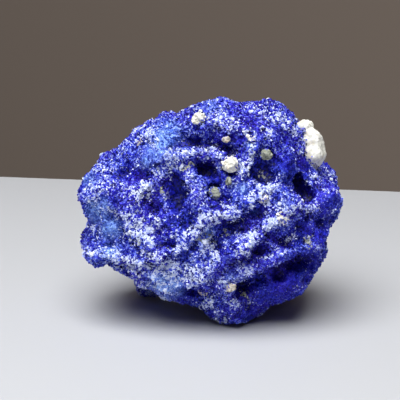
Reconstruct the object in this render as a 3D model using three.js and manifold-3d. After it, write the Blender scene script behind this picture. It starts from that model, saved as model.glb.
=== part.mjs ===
// Azurite specimen: a rough nodule of tiny azurite crystals, grown together as one mass, with lumps of
// pale clay and small stones caught in its crust. Millimetres, +Z up, and the best face looks along -Y.
// The origin is the middle of the footprint, on the surface that the stone rests on.
import * as THREE from "three";
import { ImprovedNoise } from "three/addons/math/ImprovedNoise.js";
import { mergeVertices } from "three/addons/utils/BufferGeometryUtils.js";
import Module from "manifold-3d";

const wasm = await Module();
wasm.setup();
const noise = new ImprovedNoise();

// ---- driving dimensions, mm ----

const CENTRE_Z = 25.5; // height of the middle of the mass
const FRONT_DEPTH = 20.5; // from the rim's plane to the front face
const BACK_DEPTH = 23.5; // from the rim's plane to the back
const SQUARENESS = 2.35; // 2 is an ellipse in depth, more is flatter faces
const LEAN = 0.12; // the front face leans back by this share of its height
const GAP = 0.32; // clearance between a caught piece and its socket

const MASS_DETAIL = 14; // icosphere detail of the azurite mass
const FRONT_CROWDING = 0.16; // how far the mesh points crowd towards the front face
const RIM_STEPS = 900; // samples of the rim's curve
const TURN_SHARPNESS = 2.2; // how soon a face's relief fades in as the surface turns to that face

// The rim as seen from the front, [x, z], clockwise from the right.
const RIM = [
  [29.5, 26.6], [29.4, 23.4], [27.4, 19.6], [26.3, 16.4], [24.9, 12.8], [23.3, 9.5], [19.6, 6.4],
  [14.6, 4.0], [9.8, 2.4], [5.4, 1.4], [1.0, 1.3], [-2.8, 2.4], [-9.2, 4.6], [-14.4, 8.0],
  [-19.8, 10.0], [-23.8, 12.4], [-27.6, 13.4], [-29.2, 15.6], [-28.3, 19.2], [-29.3, 23.6],
  [-30.6, 29.0], [-27.4, 33.0], [-22.1, 36.7], [-17.8, 41.4], [-12.8, 44.4], [-8.2, 44.2],
  [-5.0, 46.8], [-1.4, 48.9], [3.0, 48.8], [7.2, 48.8], [12.6, 48.2], [18.4, 45.9], [21.2, 41.8],
  [22.6, 36.8], [25.5, 33.3], [28.5, 31.0],
];

// Relief by face. A stroke's path is drawn in the two axes of its face; it rises, or with a negative rise
// sinks, and fades to nothing at its reach.
const FACES = [
  {
    look: [0, -1, 0],
    axes: ["x", "z"],
    strokes: [
      // two shoulders and a crown, with a long groove and a ridge below them
      { rise: 1.6, reach: 9.0, path: [[-8, 44]] },
      { rise: 1.4, reach: 6.0, path: [[1, 47]] },
      { rise: 1.6, reach: 8.0, path: [[11, 45]] },
      { rise: -2.6, reach: 2.6, path: [[-12, 41.4], [-5.4, 41.8], [0.2, 42], [4.4, 41]] },
      { rise: 1.5, reach: 2.4, path: [[-15, 38.6], [-8.6, 39.4], [-2.3, 39.9], [2.5, 39.4]] },
      { rise: -1.3, reach: 2.2, path: [[-15.7, 41]] },
      // the broad bowl left of the middle, and the ridge on its right
      { rise: -3.0, reach: 8.5, path: [[-9.5, 31]] },
      { rise: -2.0, reach: 6.5, path: [[-8.2, 24.5]] },
      { rise: 2.0, reach: 2.2, path: [[-4, 34.2], [-2.6, 31], [-1.2, 28.4]] },
      { rise: -1.6, reach: 3.0, path: [[-4.6, 26.6]] },
      // pits in the middle
      { rise: -3.0, reach: 3.0, path: [[-0.8, 37.1]] },
      { rise: -3.2, reach: 3.4, path: [[0.8, 31.8], [3.6, 30.8]] },
      { rise: -2.4, reach: 4.2, path: [[11.4, 36.2]] },
      { rise: 1.0, reach: 1.8, path: [[10.8, 42], [8.2, 39.8], [7.4, 36.4]] },
      // the curved crest across the lower front
      { rise: 2.0, reach: 2.3, path: [[-17, 16.6], [-10.8, 18.7], [-6.1, 20.6], [-3.3, 24.3]] },
      { rise: 2.0, reach: 2.3, path: [[-0.6, 26.9], [3.4, 27.4]] },
      // the valley and the second crest below it, rising to the right
      { rise: -2.6, reach: 2.6, path: [[0.9, 19.9], [3.6, 22.6], [7.2, 25.2], [10.4, 27.6]] },
      { rise: 1.7, reach: 2.6, path: [[-1.2, 14.8], [3, 18.5], [7.2, 21.4], [10.8, 24.3]] },
      { rise: 1.7, reach: 2.6, path: [[15.7, 27.1], [19.6, 28.4]] },
      { rise: -2.2, reach: 2.0, path: [[11.8, 18.7]] },
      { rise: -2.6, reach: 2.8, path: [[16.5, 20.6]] },
      // the lip of the front face, the shadowed step under it, and the block behind the step
      { rise: 1.6, reach: 3.0, path: [[-14, 11.5], [-6.6, 10.6], [-1.2, 12.2], [4.2, 12.6], [8.4, 14.6]] },
      { rise: 1.6, reach: 3.0, path: [[12.7, 16.6], [17.6, 18.4], [21.5, 19.6]] },
      { rise: -3.4, reach: 2.6, path: [[7.4, 10], [11.1, 12.4], [15.8, 15.2], [21.7, 16]] },
      { rise: 2.0, reach: 6.5, path: [[17.5, 9.6]] },
      { rise: -2.4, reach: 3.0, path: [[-3.4, 8.6]] },
      { rise: -2.2, reach: 2.8, path: [[8, 7.6]] },
      // the right-hand lobes
      { rise: 1.8, reach: 4.5, path: [[16.4, 37]] },
      { rise: 1.4, reach: 4.0, path: [[15.7, 30.6]] },
      { rise: 2.0, reach: 4.4, path: [[26.6, 29.4]] },
      { rise: 1.6, reach: 3.2, path: [[23.6, 20.4]] },
      // the left edge: a low knob, two notches and a swelling
      { rise: 2.6, reach: 4.6, path: [[-25.6, 16]] },
      { rise: -0.9, reach: 2.4, path: [[-27, 26.4]] },
      { rise: -0.8, reach: 3.0, path: [[-24.5, 20.8]] },
      { rise: 1.2, reach: 5.5, path: [[-22, 31]] },
    ],
  },
  {
    look: [0, 1, 0],
    axes: ["x", "z"],
    strokes: [
      // two bosses, a slanting furrow with a crest below it, and three hollows
      { rise: 2.4, reach: 11.0, path: [[-12, 34]] },
      { rise: 2.2, reach: 12.0, path: [[13, 22]] },
      { rise: -3.0, reach: 4.6, path: [[-20, 20], [-8, 24], [2, 32], [10, 40]] },
      { rise: 1.8, reach: 2.6, path: [[-6, 13], [4, 17], [9, 25], [19, 31]] },
      { rise: -2.4, reach: 5.0, path: [[17, 36]] },
      { rise: -2.2, reach: 4.4, path: [[-15, 12]] },
      { rise: -2.0, reach: 4.0, path: [[8, 10]] },
      { rise: 1.4, reach: 2.6, path: [[-16, 40], [-10, 41], [-3, 45]] },
    ],
  },
  {
    look: [-1, 0, 0],
    axes: ["y", "z"],
    strokes: [
      { rise: -2.2, reach: 4.4, path: [[5, 31], [8, 25], [11, 19]] },
      { rise: 1.8, reach: 6.0, path: [[10, 32]] },
      { rise: 1.4, reach: 4.0, path: [[-2, 17]] },
    ],
  },
  {
    look: [1, 0, 0],
    axes: ["y", "z"],
    strokes: [
      { rise: -2.6, reach: 4.2, path: [[0, 21], [7, 18], [14, 20]] },
      { rise: 1.8, reach: 6.5, path: [[8, 30]] },
      { rise: 1.6, reach: 5.0, path: [[2, 12]] },
      { rise: -1.8, reach: 4.0, path: [[12, 36]] },
    ],
  },
  {
    look: [0, 0, 1],
    axes: ["x", "y"],
    strokes: [
      { rise: -2.4, reach: 5.0, path: [[-14, 6], [-4, 4], [4, 9], [14, 8]] },
      { rise: 1.2, reach: 6.0, path: [[3, -6]] },
      { rise: 1.2, reach: 4.5, path: [[14, -3]] },
      { rise: 1.6, reach: 6.0, path: [[-9, 14]] },
    ],
  },
  {
    look: [0, 0, -1],
    axes: ["x", "y"],
    strokes: [
      // the front foot is a blunt wedge, with two smaller feet behind it and a hollow between the three
      { rise: 2.9, reach: 11.0, path: [[5.4, -8.4]] },
      { rise: 1.0, reach: 4.4, path: [[5.4, -9]] },
      { rise: 10.6, reach: 6.6, path: [[-12.2, 9.4]] },
      { rise: 7.8, reach: 8.0, path: [[14.2, 10.6]] },
      { rise: -3.0, reach: 6.0, path: [[5, 2], [1, 4]] },
      // a low rim joins the two behind, and swellings thicken them towards the sides
      { rise: 4.1, reach: 7.0, path: [[-7, 12.5], [1, 14], [8, 13]] },
      { rise: 3.6, reach: 6.0, path: [[-17, 8]] },
      { rise: 4.0, reach: 6.0, path: [[19.5, 6]] },
    ],
  },
];

// Growth lumps, at three scales.
const LUMPS = [
  { size: 14, height: 1.5 },
  { size: 6.5, height: 0.9 },
  { size: 3.6, height: 0.5 },
];

// Deep holes, cut as rough eggs: the middle, the three half-sizes and the turns in degrees.
const HOLES = [
  { at: [20.6, -13.6, 31.4], half: [1.8, 5.2, 3.0], turn: [8, 0, 24] }, // under the right shoulder
  { at: [28.2, -11.0, 21.0], half: [3.8, 4.6, 1.2], turn: [0, -24, 20] }, // notch below the right lobe
];

// Pieces caught in the crust. Each is dropped onto the mass from its side at [x, z], and sinks in by that
// share of its depth. size is its width, depth and height before its turn about Y, in degrees.
const FRONT = -1;
const BACK = 1;
const CAUGHT = [
  { name: "clay_lump_front", side: FRONT, at: [4.0, 37.6], size: [4.0, 3.6, 3.6], sink: 0.42, turn: 20 },
  { name: "clay_lump_crown", side: FRONT, at: [-2.4, 46.6], size: [3.9, 2.8, 3.0], sink: 0.5, turn: -10 },
  { name: "clay_lump_right", side: FRONT, at: [15.2, 26.6], size: [3.4, 2.6, 3.0], sink: 0.6, turn: 30 },
  { name: "clay_lump_back", side: BACK, at: [-4.5, 30.0], size: [4.2, 3.0, 3.4], sink: 0.5, turn: 15 },
  { name: "clay_chip_slope", side: FRONT, at: [11.2, 30.4], size: [1.7, 1.6, 2.4], sink: 0.5, turn: 24 },
  { name: "clay_chip_shelf", side: FRONT, at: [8.4, 43.0], size: [3.0, 1.8, 1.6], sink: 0.6, turn: 35 },
  { name: "grey_chip_upper", side: FRONT, at: [11.8, 39.4], size: [3.0, 1.8, 2.6], sink: 0.5, turn: 18 },
  { name: "grey_chip_middle", side: FRONT, at: [3.6, 34.0], size: [2.0, 1.8, 2.2], sink: 0.5, turn: 30 },
  { name: "grey_pebble_hollow", side: FRONT, at: [0.9, 31.4], size: [3.4, 2.6, 2.8], sink: 0.5, turn: 35 },
  { name: "tan_grain_groove", side: FRONT, at: [3.3, 42.4], size: [2.3, 1.8, 1.7], sink: 0.4, turn: -12 },
  { name: "tan_grain_foot", side: FRONT, at: [4.3, 11.6], size: [2.9, 2.0, 1.9], sink: 0.45, turn: -34 },
  { name: "tan_grain_under", side: FRONT, at: [-1.6, 9.2], size: [2.7, 2.2, 2.1], sink: 0.4, turn: 20 },
  { name: "tan_grain_shoulder", side: FRONT, at: [-15.4, 40.6], size: [1.5, 1.6, 2.6], sink: 0.45, turn: 10 },
];
const FINE_FROM = 3.95; // pieces at least this wide get the finer mesh

// The pale nodule stuck to the upper right edge: a long egg with a small knob on its shoulder.
const NODULE_EGG = { at: [22.7, -2.4, 38.4], half: [2.9, 3.6, 4.8], turn: [0, 8, 0] };
const NODULE_KNOB = { at: [21.2, -1.2, 43.2], half: [2.2, 2.2, 2.0], turn: [0, 0, 0] };

const WANDER = 0.16; // how far a small stone's surface strays from an egg, as a share of its radius
const WANDER_SCALE = 1.3; // bumps of that wandering across one radius

const COLOURS = {
  azurite: { color: "#2a2fa8", roughness: 0.55 },
  clay: { color: "#e4e4da", roughness: 0.9 },
  grey: { color: "#9a9c93", roughness: 0.85 },
  tan: { color: "#c3b7a4", roughness: 0.85 },
};

// ---- shapes ----

// Falls smoothly from 1 at 0 to 0 at 1.
const fade = (t) => (t >= 1 ? 0 : (1 - t * t) ** 2);

// Leaves a geometry with shared positions only, so that it can become a solid.
function bare(geometry) {
  geometry.deleteAttribute("normal");
  geometry.deleteAttribute("uv");
  return mergeVertices(geometry, 1e-5);
}

function icosphere(detail) {
  return bare(new THREE.IcosahedronGeometry(1, detail));
}

// Moves each vertex of a geometry to what move(vertex, index) returns.
function reshape(geometry, move) {
  const position = geometry.getAttribute("position");
  for (let i = 0; i < position.count; i++) {
    const moved = move(new THREE.Vector3().fromBufferAttribute(position, i), i);
    position.setXYZ(i, moved.x, moved.y, moved.z);
  }
  return geometry;
}

function toSolid(geometry) {
  const mesh = new wasm.Mesh({
    numProp: 3,
    vertProperties: new Float32Array(geometry.getAttribute("position").array),
    triVerts: new Uint32Array(geometry.index.array),
  });
  return new wasm.Manifold(mesh);
}

function toGeometry(solid) {
  const mesh = solid.getMesh();
  const geometry = new THREE.BufferGeometry();
  geometry.setAttribute("position", new THREE.BufferAttribute(mesh.vertProperties, 3));
  geometry.setIndex(new THREE.BufferAttribute(mesh.triVerts, 1));
  geometry.computeVertexNormals();
  return geometry;
}

// A piece's name starts with what it is made of.
function namedMesh(name, solid) {
  const stuff = name.split("_")[0];
  const mesh = new THREE.Mesh(toGeometry(solid), new THREE.MeshStandardMaterial(COLOURS[stuff]));
  mesh.name = name;
  return mesh;
}

// A rough egg as a solid. grow pushes it out all over, for the socket that holds it.
function roughEgg({ at, half, turn }, detail, grow = 0) {
  const middle = new THREE.Vector3(...at);
  const size = new THREE.Vector3(...half);
  const turned = new THREE.Euler(...turn.map(THREE.MathUtils.degToRad));
  const egg = reshape(icosphere(detail), (d) => {
    const place = d.clone().multiplyScalar(WANDER_SCALE).add(middle);
    const radius = 1 + WANDER * noise.noise(place.x, place.y, place.z);
    const outward = d.clone().divide(size).normalize();
    return d.multiply(size).multiplyScalar(radius).addScaledVector(outward, grow)
      .applyEuler(turned).add(middle);
  });
  return toSolid(egg);
}

// Returns a function that gives the distance from the middle to the rim at an angle.
function rimRadius() {
  const corners = RIM.map(([x, z]) => new THREE.Vector3(x, 0, z - CENTRE_Z));
  const curve = new THREE.CatmullRomCurve3(corners, true, "centripetal");
  const table = curve.getPoints(RIM_STEPS).map((p) => ({
    angle: Math.atan2(p.z, p.x),
    radius: Math.hypot(p.x, p.z),
  }));
  table.sort((a, b) => a.angle - b.angle);
  return (angle) => {
    const after = table.findIndex((sample) => sample.angle > angle);
    if (after <= 0) return table[0].radius;
    const low = table[after - 1];
    const high = table[after];
    const share = (angle - low.angle) / (high.angle - low.angle);
    return THREE.MathUtils.lerp(low.radius, high.radius, share);
  };
}

// Distance from a point to a path of one or more corners.
function pathDistance(point, path) {
  let nearest = Infinity;
  for (let i = 0; i < path.length; i++) {
    const from = new THREE.Vector2(...path[Math.max(i - 1, 0)]);
    const run = new THREE.Vector2(...path[i]).sub(from);
    const to = point.clone().sub(from);
    const along = run.lengthSq() ? THREE.MathUtils.clamp(to.dot(run) / run.lengthSq(), 0, 1) : 0;
    nearest = Math.min(nearest, to.addScaledVector(run, -along).length());
  }
  return nearest;
}

// How far the surface stands out at a point, from the strokes of the faces that it looks to and the lumps.
function reliefAt(point, normal) {
  let rise = 0;
  for (const { look, axes, strokes } of FACES) {
    const facing = normal.dot(new THREE.Vector3(...look)) * TURN_SHARPNESS;
    if (facing <= 0) continue;
    const flat = new THREE.Vector2(point[axes[0]], point[axes[1]]);
    for (const stroke of strokes) {
      rise += Math.min(facing, 1) * stroke.rise * fade(pathDistance(flat, stroke.path) / stroke.reach);
    }
  }
  for (const { size, height } of LUMPS) {
    rise += height * noise.noise(point.x / size, point.y / size, point.z / size);
  }
  return rise;
}

// A cushion with the rim as its outline, before any relief.
function cushion() {
  const radiusAt = rimRadius();
  return reshape(icosphere(MASS_DETAIL), (d) => {
    d.y -= FRONT_CROWDING * (1 - d.y * d.y);
    d.normalize();
    const angle = Math.atan2(d.z, d.x);
    const out = radiusAt(angle) * Math.hypot(d.x, d.z) ** (2 / SQUARENESS);
    const up = out * Math.sin(angle);
    const depth = d.y < 0 ? LEAN * up - FRONT_DEPTH : BACK_DEPTH;
    const y = depth * Math.abs(d.y) ** (2 / SQUARENESS);
    return new THREE.Vector3(out * Math.cos(angle), y, up + CENTRE_Z);
  });
}

// Everything below the resting surface, to take the feet off flat.
function ground() {
  return toSolid(bare(new THREE.BoxGeometry(100, 100, 20).translate(0, 0, -10)));
}

function azuriteMass() {
  const body = cushion();
  body.computeVertexNormals();
  const normals = body.getAttribute("normal").clone();
  body.deleteAttribute("normal");
  reshape(body, (p, i) => {
    const normal = new THREE.Vector3().fromBufferAttribute(normals, i);
    return p.clone().addScaledVector(normal, reliefAt(p, normal));
  });
  const holes = HOLES.map((hole) => roughEgg(hole, 2));
  return wasm.Manifold.difference([toSolid(body), ground(), ...holes]);
}

// Where a line along Y at [x, z] first meets the mass from a side.
function surfacePoint(mass, side, [x, z]) {
  const start = new THREE.Vector3(x, side * 100, z);
  const inward = new THREE.Vector3(0, -side, 0);
  return new THREE.Raycaster(start, inward).intersectObject(mass)[0].point;
}

// ---- assembly ----

const specimen = new THREE.Group();
specimen.name = "azurite_specimen";
const wholeMass = azuriteMass();
const wholeMesh = namedMesh("azurite_whole", wholeMass);
const sockets = [];

for (const { name, side, at, size, sink, turn } of CAUGHT) {
  const middle = surfacePoint(wholeMesh, side, at);
  middle.y += side * size[1] * (0.5 - sink);
  const egg = { at: middle.toArray(), half: size.map((s) => s / 2), turn: [0, turn, 0] };
  const detail = size[0] >= FINE_FROM ? 2 : 1;
  specimen.add(namedMesh(name, roughEgg(egg, detail)));
  sockets.push(roughEgg(egg, detail, GAP));
}

specimen.add(namedMesh("clay_nodule", roughEgg(NODULE_EGG, 3).add(roughEgg(NODULE_KNOB, 2))));
sockets.push(roughEgg(NODULE_EGG, 3, GAP), roughEgg(NODULE_KNOB, 2, GAP));
specimen.add(namedMesh("azurite_mass", wasm.Manifold.difference([wholeMass, ...sockets])));

const centre = new THREE.Box3().setFromObject(specimen).getCenter(new THREE.Vector3());
for (const piece of specimen.children) piece.geometry.translate(-centre.x, -centre.y, 0);

export default specimen;
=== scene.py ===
# A rough azurite nodule on a pale table: a mass of tiny deep blue crystals, dusted with kaolin, with lumps
# of white clay and small stones caught in it. The frame gives every place, and lengths here are in mm.
import bpy
from math import atan2, hypot, pi, radians
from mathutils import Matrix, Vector


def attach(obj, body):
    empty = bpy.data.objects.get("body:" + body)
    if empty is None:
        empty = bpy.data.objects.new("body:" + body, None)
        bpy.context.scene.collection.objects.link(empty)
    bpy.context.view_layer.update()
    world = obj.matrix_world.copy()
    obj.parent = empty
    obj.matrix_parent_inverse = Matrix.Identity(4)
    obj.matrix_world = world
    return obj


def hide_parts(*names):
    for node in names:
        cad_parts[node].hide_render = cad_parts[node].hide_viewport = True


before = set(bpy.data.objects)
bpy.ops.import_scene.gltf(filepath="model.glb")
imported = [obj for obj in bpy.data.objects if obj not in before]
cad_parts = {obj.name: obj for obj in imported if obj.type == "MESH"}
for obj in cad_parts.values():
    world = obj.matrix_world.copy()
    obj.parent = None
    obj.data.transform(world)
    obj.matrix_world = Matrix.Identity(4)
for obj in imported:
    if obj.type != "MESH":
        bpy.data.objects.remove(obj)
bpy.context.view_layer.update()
mm = 0.001


def srgbToLinear(hexColour):
    parts = [int(hexColour[i:i + 2], 16) / 255 for i in (1, 3, 5)]
    return [c / 12.92 if c <= 0.04045 else ((c + 0.055) / 1.055) ** 2.4 for c in parts] + [1.0]


# adds a node to a tree, with its settings, what feeds its inputs (a node stands for its first output), and
# the colour stops if it's a ramp
def addNode(tree, kind, inputs=None, stops=(), **settings):
    node = tree.nodes.new(kind)
    for i, (position, colour) in enumerate(stops):
        elements = node.color_ramp.elements
        element = elements[i] if i < 2 else elements.new(position)
        element.position = position
        element.color = srgbToLinear(colour)
    for setting, value in settings.items():
        setattr(node, setting, value)
    for socket, value in (inputs or {}).items():
        if isinstance(value, bpy.types.Node):
            value = value.outputs[0]
        if isinstance(value, bpy.types.NodeSocket):
            tree.links.new(value, node.inputs[socket])
        else:
            node.inputs[socket].default_value = value
    return node


def addObject(name, data):
    added = bpy.data.objects.new(name, data)
    bpy.context.scene.collection.objects.link(added)
    return added


def selectOnly(piece):
    bpy.ops.object.select_all(action="DESELECT")
    piece.select_set(True)
    bpy.context.view_layer.objects.active = piece


# goes into edit mode with only the faces or points selected that a test picks
def editOnly(piece, kind, test):
    selectOnly(piece)
    bpy.ops.object.mode_set(mode="EDIT")
    bpy.ops.mesh.select_mode(type=kind)
    bpy.ops.mesh.select_all(action="DESELECT")
    bpy.ops.object.mode_set(mode="OBJECT")
    for element in piece.data.polygons if kind == "FACE" else piece.data.vertices:
        element.select = test(element)
    bpy.ops.object.mode_set(mode="EDIT")


def applyModifier(piece, kind, **settings):
    selectOnly(piece)
    modifier = piece.modifiers.new(kind.lower(), kind)
    for setting, value in settings.items():
        setattr(modifier, setting, value)
    bpy.ops.object.modifier_apply(modifier=modifier.name)


# a copy of a CAD node's mesh, with its loose triangles joined up
def copyNode(nodeName, pieceName):
    piece = addObject(pieceName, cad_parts[nodeName].data.copy())
    piece.data.materials.clear()
    selectOnly(piece)
    bpy.ops.object.mode_set(mode="EDIT")
    bpy.ops.mesh.select_all(action="SELECT")
    bpy.ops.mesh.remove_doubles(threshold=0.005 * mm)
    bpy.ops.object.mode_set(mode="OBJECT")
    return piece


# a geometry nodes tree with a geometry socket at each end and the extra inputs that are named, and its start
def newGeometryTree(name, extraInputs=()):
    tree = bpy.data.node_groups.new(name, "GeometryNodeTree")
    tree.interface.new_socket("Geometry", in_out="INPUT", socket_type="NodeSocketGeometry")
    for socketName, socketType in extraInputs:
        tree.interface.new_socket(socketName, in_out="INPUT", socket_type=socketType)
    tree.interface.new_socket("Geometry", in_out="OUTPUT", socket_type="NodeSocketGeometry")
    return tree, addNode(tree, "NodeGroupInput")


# moves a geometry out along its normals
def moveOut(tree, geometry, rise):
    normal = addNode(tree, "GeometryNodeInputNormal")
    offset = addNode(tree, "ShaderNodeVectorMath", {0: normal, 3: rise}, operation="SCALE")
    return addNode(tree, "GeometryNodeSetPosition", {"Geometry": geometry, "Offset": offset})


# runs a geometry nodes tree on a piece, with values for its extra inputs
def applyTree(piece, tree, values=None):
    selectOnly(piece)
    modifier = piece.modifiers.new(tree.name, "NODES")
    modifier.node_group = tree
    for item in tree.interface.items_tree:
        if item.in_out == "INPUT" and item.name in (values or {}):
            modifier[item.identifier] = values[item.name]
    bpy.ops.object.modifier_apply(modifier=modifier.name)


camera = {
    "place": (-2.37, -249.66, 79.11),
    "aim": (-2.37, -1.21, 26.3),
    "lens": 100.0,
}

# Each stroke is (rise, reach, path), drawn as the stone looks from the camera: the path's points are
# (across, height) on an upright sheet that touches the front of the stone, and the stroke fades out at
# its reach. A crest stands out of the surface by its rise, and a groove or a pit sinks in.
front = {
    "sheetY": -19.0,
    "step": 0.3,  # between the points that a path is cut into
    "wander": 0.9,  # how far a stroke's edge strays
    "wanderSize": 2.4,
    "turnedAway": 0.08,  # the least that a surface has to face the camera to take a stroke
    "squareOn": 0.4,  # and how much for all of it
    "crests": [
        (1.6, 2.6, [(-13.5, 33.6), (-15.7, 31.2), (-17.1, 27.6), (-16.9, 25.2), (-15.3, 22.6),
                    (-13.9, 20.0)]),
        (1.9, 1.8, [(-11.3, 16.8), (-8.7, 18.6), (-6.6, 20.2), (-4.7, 22.6), (-2.9, 24.1), (-0.9, 25.8)]),
        (1.8, 1.9, [(-0.3, 26.2), (1.9, 26.8), (4.1, 27.3), (5.9, 26.4)]),
        (0.9, 2.2, [(5.9, 28.0), (8.5, 30.0), (11.3, 31.6), (13.7, 33.4)]),
        (1.8, 1.9, [(2.3, 15.6), (5.1, 17.4), (7.2, 19.1), (9.4, 21.3), (12.0, 24.1), (14.1, 25.7),
                    (16.7, 27.2)]), (1.6, 1.6, [(3.7, 19.4), (5.6, 21.0), (7.7, 22.4)]),
        (1.4, 2.3, [(-13.7, 38.2), (-7.7, 39.9), (-4.2, 40.4), (0.3, 40.4), (2.9, 38.4)]),
        (1.4, 2.0, [(9.9, 43.6), (8.7, 41.6), (7.9, 39.4), (6.9, 37.4)]),
        (1.5, 2.0, [(-4.9, 36.6), (-4.1, 33.0), (-3.7, 30.4), (-3.1, 28.0)]),
        (1.0, 2.3, [(-23.7, 19.0), (-20.7, 17.6), (-17.3, 15.8)]),
        (2.2, 3.8, [(-16.1, 14.0), (-13.7, 12.8), (-10.5, 12.9), (-7.2, 13.8), (-4.6, 13.4)]),
        (1.0, 1.9, [(8.9, 34.6), (10.3, 32.6)]),
        (1.2, 2.2, [(13.9, 31.0), (16.1, 29.6), (17.9, 28.8), (20.3, 28.4)]),
        (1.8, 2.2, [(9.7, 14.4), (12.1, 16.2), (15.7, 18.0), (18.9, 19.4), (21.7, 19.6)]),
        (1.4, 1.4, [(0.1, 20.6), (0.4, 18.6), (0.9, 16.6)]), (1.2, 2.2, [(3.5, 9.6), (5.3, 6.4), (5.9, 3.4)]),
        (1.0, 1.6, [(9.9, 17.4), (12.1, 17.0), (13.9, 17.9)]), (0.8, 2.0, [(-24.3, 32.8), (-22.1, 33.4)]),
        (0.9, 1.8, [(-19.1, 41.0), (-16.5, 41.8), (-13.7, 43.4)]),
        (0.9, 1.8, [(1.8, 46.6), (4.9, 46.1), (7.1, 45.1)]),
        (1.0, 1.6, [(-9.5, 25.0), (-8.3, 23.4), (-6.7, 22.6)]), (1.5, 2.3, [(3.9, 30.9)]),
        (1.0, 1.8, [(12.9, 37.5)]),
    ],
    "grooves": [
        (-2.0, 1.4, [(-8.1, 42.2), (-5.1, 42.4), (-2.1, 42.3), (0.9, 41.6), (3.7, 40.8)]),
        (-2.0, 1.3, [(3.3, 24.0), (4.9, 24.8), (6.7, 25.4), (8.5, 26.6), (9.7, 27.6)]),
        (-1.4, 1.2, [(-4.3, 19.8), (-2.1, 21.4), (0.1, 22.4)]),
        (-1.3, 1.7, [(5.7, 11.4), (9.3, 12.2), (12.5, 12.8), (15.7, 14.6), (18.7, 16.4), (21.9, 17.0)]),
        (-1.6, 1.2, [(14.9, 34.4), (16.3, 33.6), (17.9, 33.0)]), (-1.4, 1.2, [(20.5, 34.6), (20.9, 36.8)]),
        (-0.9, 1.3, [(-25.3, 29.4), (-24.7, 26.8), (-25.5, 24.4)]),
        (-1.2, 1.3, [(-21.1, 15.6), (-19.3, 13.8), (-17.1, 12.4)]),
        (-1.5, 1.4, [(-11.9, 20.0), (-9.7, 20.8), (-7.5, 20.6)]),
        (-1.6, 1.3, [(-20.3, 36.2), (-18.2, 37.2), (-16.1, 35.7), (-14.3, 35.6)]),
        (-1.4, 1.2, [(9.9, 24.4), (11.7, 22.8), (13.9, 21.6)]),
        (-1.0, 1.2, [(17.1, 24.4), (19.5, 24.8), (21.7, 25.8)]),
        (-1.3, 1.2, [(-20.7, 26.8), (-19.3, 24.4), (-19.9, 22.2)]),
        (-1.2, 1.2, [(11.1, 40.4), (12.5, 38.4), (14.7, 37.4)]),
    ],
    "pits": [
        (-2.8, 2.1, [(17.7, 34.0), (19.1, 32.8), (20.5, 31.6)]),
        (-2.6, 3.0, [(-8.3, 34.0), (-7.1, 32.4), (-6.7, 30.4), (-7.5, 28.6)]),
        (-1.8, 2.2, [(-13.3, 31.0), (-12.1, 28.6)]), (-1.7, 2.1, [(-2.3, 37.2), (0.1, 36.2)]),
        (-2.0, 1.5, [(0.9, 34.4), (1.2, 33.4)]), (-0.7, 1.7, [(4.5, 31.6), (3.7, 30.2)]),
        (-0.5, 1.2, [(0.9, 31.4)]), (-1.8, 2.0, [(9.2, 36.4), (10.7, 35.4), (12.5, 34.8)]),
        (-2.2, 1.3, [(2.9, 23.3)]), (-1.7, 0.9, [(3.6, 18.3)]), (-2.6, 1.3, [(9.4, 18.9), (11.3, 19.0)]),
        (-2.4, 1.4, [(12.6, 20.4), (14.1, 21.6)]), (-2.4, 1.5, [(-6.1, 9.2), (-3.5, 8.6)]),
        (-1.6, 1.4, [(7.3, 10.2)]), (-1.0, 1.3, [(10.7, 10.6), (12.7, 11.2)]), (-1.6, 1.0, [(8.1, 6.0)]),
        (-1.0, 1.0, [(14.9, 10.8)]), (-1.6, 1.0, [(-16.3, 40.4)]), (-2.0, 1.3, [(-11.3, 23.6)]),
        (-1.6, 1.1, [(-5.9, 25.0)]), (-1.3, 1.0, [(-1.5, 21.8)]), (-1.4, 0.9, [(-5.9, 18.2)]),
        (-2.2, 1.4, [(23.3, 25.4), (25.1, 24.2)]), (-1.4, 1.0, [(-21.3, 29.4)]), (-1.3, 0.9, [(-11.1, 35.2)]),
        (-1.2, 0.8, [(15.9, 43.6)]), (-1.5, 0.9, [(21.7, 21.6)]), (-1.4, 1.0, [(-14.3, 25.0)]),
        (-1.2, 0.9, [(-22.5, 21.0)]), (-1.3, 0.9, [(-9.1, 12.2)]), (-1.3, 0.9, [(17.7, 22.6)]),
        (-1.2, 0.9, [(7.9, 33.4)]), (-1.2, 0.9, [(-12.3, 40.6)]), (-1.2, 0.9, [(12.7, 46.4)]),
        (-1.2, 0.9, [(5.7, 44.0)]), (-1.6, 1.9, [(22.3, 34.6), (24.9, 34.2)]),
    ],
}

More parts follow.
